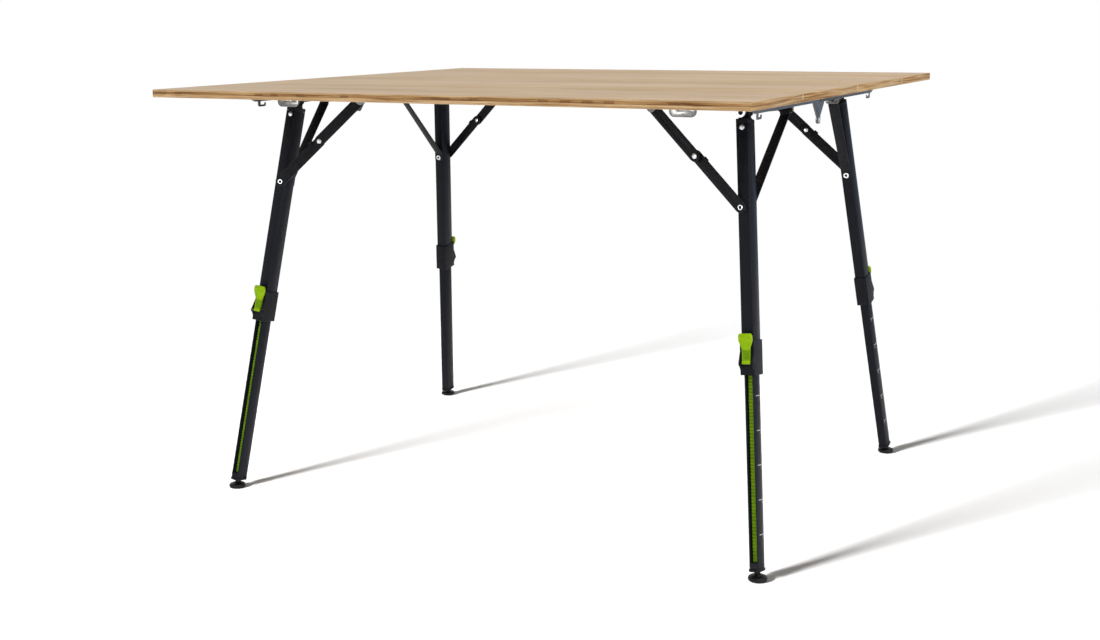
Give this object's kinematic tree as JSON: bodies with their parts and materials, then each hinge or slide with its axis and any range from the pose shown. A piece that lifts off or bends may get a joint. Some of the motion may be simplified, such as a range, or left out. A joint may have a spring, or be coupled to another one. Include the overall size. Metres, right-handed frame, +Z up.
{
  "type": "folding camp kitchen table",
  "caption": "Folding camp kitchen table with a panelled bamboo top on hinged rails, splayed telescoping legs, lever clamps and folding braces.",
  "frame": {"origin": "on the floor under the middle of the top", "axes": "+X along the fold lines, +Y to the back, +Z up"},
  "size_m": [1.2, 1.134, 0.83],
  "materials": {
    "bamboo": "satin lacquered bamboo board",
    "charcoal_coat": "satin charcoal coat",
    "grey_steel": "satin warm grey coat",
    "black_steel": "satin black coat",
    "zinc": "bright zinc plate",
    "dark_plastic": "fine moulded grain",
    "lime_plastic": "satin moulded",
    "green_plastic": "satin moulded",
    "rubber": "matt"
  },
  "bodies": {
    "front_half": {"board_front": "bamboo", "rail_fl": "grey_steel", "rail_fr": "grey_steel", "bracket_fl": "zinc", "bracket_fr": "zinc"},
    "back_half": {"board_back": "bamboo", "rail_bl": "grey_steel", "rail_br": "grey_steel", "bracket_bl": "zinc", "bracket_br": "zinc"},
    "front_leaf": {"leaf_front": "bamboo"},
    "back_leaf": {"leaf_back": "bamboo"},
    "leg_fl": {"knuckle_fl": "black_steel", "upper_tube_fl": "charcoal_coat", "collar_fl": "dark_plastic", "stay_fl": "black_steel", "eyelet_fl": "zinc"},
    "slider_fl": {"lower_tube_fl": "charcoal_coat", "rack_fl": "green_plastic", "foot_fl": "rubber"},
    "clamp_lever_fl": {"lever_fl": "lime_plastic"},
    "lower_link_fl": {"brace_lower_fl": "black_steel"},
    "upper_link_fl": {"brace_upper_fl": "black_steel", "brace_pin_fl": "zinc"},
    "leg_fr": {"knuckle_fr": "black_steel", "upper_tube_fr": "charcoal_coat", "collar_fr": "dark_plastic", "stay_fr": "black_steel", "eyelet_fr": "zinc"},
    "slider_fr": {"lower_tube_fr": "charcoal_coat", "rack_fr": "green_plastic", "foot_fr": "rubber"},
    "clamp_lever_fr": {"lever_fr": "lime_plastic"},
    "lower_link_fr": {"brace_lower_fr": "black_steel"},
    "upper_link_fr": {"brace_upper_fr": "black_steel", "brace_pin_fr": "zinc"},
    "leg_bl": {"knuckle_bl": "black_steel", "upper_tube_bl": "charcoal_coat", "collar_bl": "dark_plastic", "stay_bl": "black_steel", "eyelet_bl": "zinc"},
    "slider_bl": {"lower_tube_bl": "charcoal_coat", "rack_bl": "green_plastic", "foot_bl": "rubber"},
    "clamp_lever_bl": {"lever_bl": "lime_plastic"},
    "lower_link_bl": {"brace_lower_bl": "black_steel"},
    "upper_link_bl": {"brace_upper_bl": "black_steel", "brace_pin_bl": "zinc"},
    "leg_br": {"knuckle_br": "black_steel", "upper_tube_br": "charcoal_coat", "collar_br": "dark_plastic", "stay_br": "black_steel", "eyelet_br": "zinc"},
    "slider_br": {"lower_tube_br": "charcoal_coat", "rack_br": "green_plastic", "foot_br": "rubber"},
    "clamp_lever_br": {"lever_br": "lime_plastic"},
    "lower_link_br": {"brace_lower_br": "black_steel"},
    "upper_link_br": {"brace_upper_br": "black_steel", "brace_pin_br": "zinc"}
  },
  "joints": [
    {"name": "centre_fold", "type": "hinge", "parent": "front_half", "child": "back_half", "pos_m": [0, 0, 0.764], "axis": [-1, 0, 0], "range_deg": [0, 45]},
    {"name": "front_leaf_fold", "type": "hinge", "parent": "front_half", "child": "front_leaf", "pos_m": [0, -0.323, 0.8303], "axis": [-1, 0, 0], "range_deg": [0, 180]},
    {"name": "back_leaf_fold", "type": "hinge", "parent": "back_half", "child": "back_leaf", "pos_m": [0, 0.323, 0.8303], "axis": [1, 0, 0], "range_deg": [0, 180]},
    {"name": "leg_swing_fl", "type": "hinge", "parent": "front_half", "child": "leg_fl", "pos_m": [-0.4815, -0.276, 0.7945], "axis": [0.2079, -0.9781, 0], "range_deg": [0, 98.53]},
    {"name": "leg_retract_fl", "type": "slide", "parent": "leg_fl", "child": "slider_fl", "axis": [0.1126, 0.1754, 0.978], "range_m": [0, 0.3345]},
    {"name": "lever_flip_fl", "type": "hinge", "parent": "leg_fl", "child": "clamp_lever_fl", "pos_m": [-0.53006, -0.37669, 0.37287], "axis": [0.9934, 0, -0.1144], "range_deg": [0, 75]},
    {"name": "brace_lower_turn_fl", "type": "hinge", "parent": "leg_fl", "child": "lower_link_fl", "pos_m": [-0.49986, -0.30458, 0.63508], "axis": [0.2079, -0.9781, 0], "range_deg": [0, 39.09]},
    {"name": "brace_upper_turn_fl", "type": "hinge", "parent": "front_half", "child": "upper_link_fl", "pos_m": [-0.31896, -0.26613, 0.8017], "axis": [-0.2079, 0.9781, 0], "range_deg": [0, 39.09]},
    {"name": "leg_swing_fr", "type": "hinge", "parent": "front_half", "child": "leg_fr", "pos_m": [0.4815, -0.276, 0.7945], "axis": [0.2079, 0.9781, 0], "range_deg": [0, 98.53]},
    {"name": "leg_retract_fr", "type": "slide", "parent": "leg_fr", "child": "slider_fr", "axis": [-0.1126, 0.1754, 0.978], "range_m": [0, 0.3345]},
    {"name": "lever_flip_fr", "type": "hinge", "parent": "leg_fr", "child": "clamp_lever_fr", "pos_m": [0.53006, -0.37669, 0.37287], "axis": [0.9934, 0, 0.1144], "range_deg": [0, 75]},
    {"name": "brace_lower_turn_fr", "type": "hinge", "parent": "leg_fr", "child": "lower_link_fr", "pos_m": [0.49986, -0.30458, 0.63508], "axis": [0.2079, 0.9781, 0], "range_deg": [0, 39.09]},
    {"name": "brace_upper_turn_fr", "type": "hinge", "parent": "front_half", "child": "upper_link_fr", "pos_m": [0.31896, -0.26613, 0.8017], "axis": [-0.2079, -0.9781, 0], "range_deg": [0, 39.09]},
    {"name": "leg_swing_bl", "type": "hinge", "parent": "back_half", "child": "leg_bl", "pos_m": [-0.4815, 0.276, 0.7945], "axis": [-0.2079, -0.9781, 0], "range_deg": [0, 98.53]},
    {"name": "leg_retract_bl", "type": "slide", "parent": "leg_bl", "child": "slider_bl", "axis": [0.1126, -0.1754, 0.978], "range_m": [0, 0.3345]},
    {"name": "lever_flip_bl", "type": "hinge", "parent": "leg_bl", "child": "clamp_lever_bl", "pos_m": [-0.53006, 0.37669, 0.37287], "axis": [-0.9934, 0, 0.1144], "range_deg": [0, 75]},
    {"name": "brace_lower_turn_bl", "type": "hinge", "parent": "leg_bl", "child": "lower_link_bl", "pos_m": [-0.49986, 0.30458, 0.63508], "axis": [-0.2079, -0.9781, 0], "range_deg": [0, 39.09]},
    {"name": "brace_upper_turn_bl", "type": "hinge", "parent": "back_half", "child": "upper_link_bl", "pos_m": [-0.31896, 0.26613, 0.8017], "axis": [0.2079, 0.9781, 0], "range_deg": [0, 39.09]},
    {"name": "leg_swing_br", "type": "hinge", "parent": "back_half", "child": "leg_br", "pos_m": [0.4815, 0.276, 0.7945], "axis": [-0.2079, 0.9781, 0], "range_deg": [0, 98.53]},
    {"name": "leg_retract_br", "type": "slide", "parent": "leg_br", "child": "slider_br", "axis": [-0.1126, -0.1754, 0.978], "range_m": [0, 0.3345]},
    {"name": "lever_flip_br", "type": "hinge", "parent": "leg_br", "child": "clamp_lever_br", "pos_m": [0.53006, 0.37669, 0.37287], "axis": [-0.9934, 0, -0.1144], "range_deg": [0, 75]},
    {"name": "brace_lower_turn_br", "type": "hinge", "parent": "leg_br", "child": "lower_link_br", "pos_m": [0.49986, 0.30458, 0.63508], "axis": [-0.2079, 0.9781, 0], "range_deg": [0, 39.09]},
    {"name": "brace_upper_turn_br", "type": "hinge", "parent": "back_half", "child": "upper_link_br", "pos_m": [0.31896, 0.26613, 0.8017], "axis": [0.2079, -0.9781, 0], "range_deg": [0, 39.09]}
  ],
  "couplings": [
    {"joint": "brace_lower_turn_fl", "follows": "leg_swing_fl", "ratio": 0.39663},
    {"joint": "brace_upper_turn_fl", "follows": "leg_swing_fl", "ratio": 0.39663},
    {"joint": "brace_lower_turn_fr", "follows": "leg_swing_fr", "ratio": 0.39663},
    {"joint": "brace_upper_turn_fr", "follows": "leg_swing_fr", "ratio": 0.39663},
    {"joint": "brace_lower_turn_bl", "follows": "leg_swing_bl", "ratio": 0.39663},
    {"joint": "brace_upper_turn_bl", "follows": "leg_swing_bl", "ratio": 0.39663},
    {"joint": "brace_lower_turn_br", "follows": "leg_swing_br", "ratio": 0.39663},
    {"joint": "brace_upper_turn_br", "follows": "leg_swing_br", "ratio": 0.39663}
  ]
}
